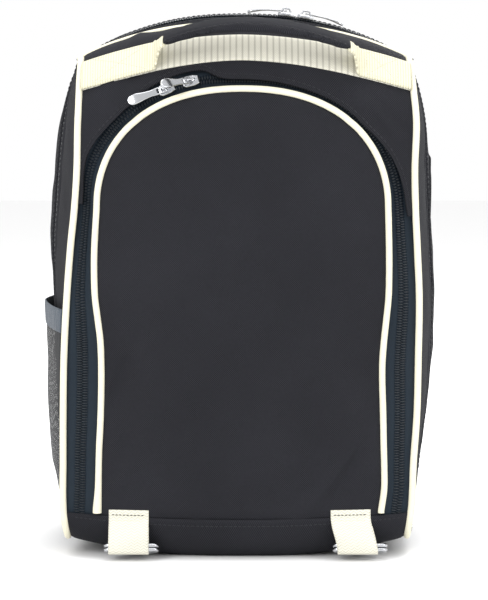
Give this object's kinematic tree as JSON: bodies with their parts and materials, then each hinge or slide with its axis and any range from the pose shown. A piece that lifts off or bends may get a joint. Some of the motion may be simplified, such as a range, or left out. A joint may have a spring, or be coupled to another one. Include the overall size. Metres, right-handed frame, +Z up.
{
  "type": "cooler backpack",
  "caption": "Soft insulated picnic backpack with an arched zipped front, pipings, a grab handle, webbing tabs with rings, a mesh side pocket and padded shoulder straps.",
  "frame": {"origin": "centre of the flat underside of the base, which stands on the ground", "axes": "+Z up, the front with the arched zipper faces -Y, +X is to the right seen from the front"},
  "size_m": [0.3151, 0.2505, 0.4002],
  "materials": {
    "cloth": "woven polyester, matt, charcoal",
    "piping": "cream cord covered with cloth",
    "webbing": "cream woven webbing",
    "strap_webbing": "dark woven webbing",
    "zip_tape": "blue-grey woven tape",
    "zip_coil": "glossy dark coil",
    "mesh": "fine dark net",
    "binding": "blue-grey elastic with a slight sheen",
    "metal": "nickel-plated, polished",
    "buckle": "dark moulded"
  },
  "bodies": {
    "bag": {"base_panel": "cloth", "arch_panel": "cloth", "arch_piping": "piping", "edge_piping": "piping", "top_panel": "cloth", "front_zip_coil": "zip_coil", "front_zip_tape_inner": "zip_tape", "front_zip_tape_outer_left": "zip_tape", "front_zip_tape_outer_right": "zip_tape", "front_side_left": "cloth", "front_side_right": "cloth", "gusset_front": "cloth", "gusset_rear": "cloth", "main_zip_tape_front": "zip_tape", "main_zip_tape_rear": "zip_tape", "main_zip_coil": "zip_coil", "back_panel": "cloth", "back_piping": "piping", "top_webbing": "webbing", "handle_strap": "webbing", "handle_grip": "cloth", "tab_left": "webbing", "ring_left_lower": "metal", "ring_left_upper": "metal", "tab_right": "webbing", "ring_right_lower": "metal", "ring_right_upper": "metal", "mesh_pocket": "mesh", "mesh_binding": "binding", "shoulder_strap_left": "cloth", "strap_buckle_left": "buckle", "strap_webbing_left": "strap_webbing", "strap_anchor_left": "cloth", "shoulder_strap_right": "cloth", "strap_buckle_right": "buckle", "strap_webbing_right": "strap_webbing", "strap_anchor_right": "cloth", "front_slider_1": "metal", "front_slider_2": "metal", "main_slider_1": "metal", "main_slider_2": "metal"},
    "front_pull_1": {"front_slider_1_pull": "metal"},
    "front_pull_2": {"front_slider_2_pull": "metal"},
    "main_pull_1": {"main_slider_1_pull": "metal"},
    "main_pull_2": {"main_slider_2_pull": "metal"}
  },
  "joints": [
    {"name": "front_pull_1_hinge", "type": "hinge", "parent": "bag", "child": "front_pull_1", "pos_m": [-0.03587, -0.09025, 0.34546], "axis": [-0.4801, 0.331, 0.8124], "range_deg": [-12, 100]},
    {"name": "front_pull_2_hinge", "type": "hinge", "parent": "bag", "child": "front_pull_2", "pos_m": [-0.05326, -0.09056, 0.33972], "axis": [-0.3622, 0.3045, 0.881], "range_deg": [0, 58]},
    {"name": "main_pull_1_hinge", "type": "hinge", "parent": "bag", "child": "main_pull_1", "pos_m": [0.03371, -0.00856, 0.39746], "axis": [0.0016, 0.9999, 0.0151], "range_deg": [0, 95]},
    {"name": "main_pull_2_hinge", "type": "hinge", "parent": "bag", "child": "main_pull_2", "pos_m": [0.04839, -0.00857, 0.39541], "axis": [-0.0029, -0.9999, -0.0166], "range_deg": [0, 95]}
  ]
}
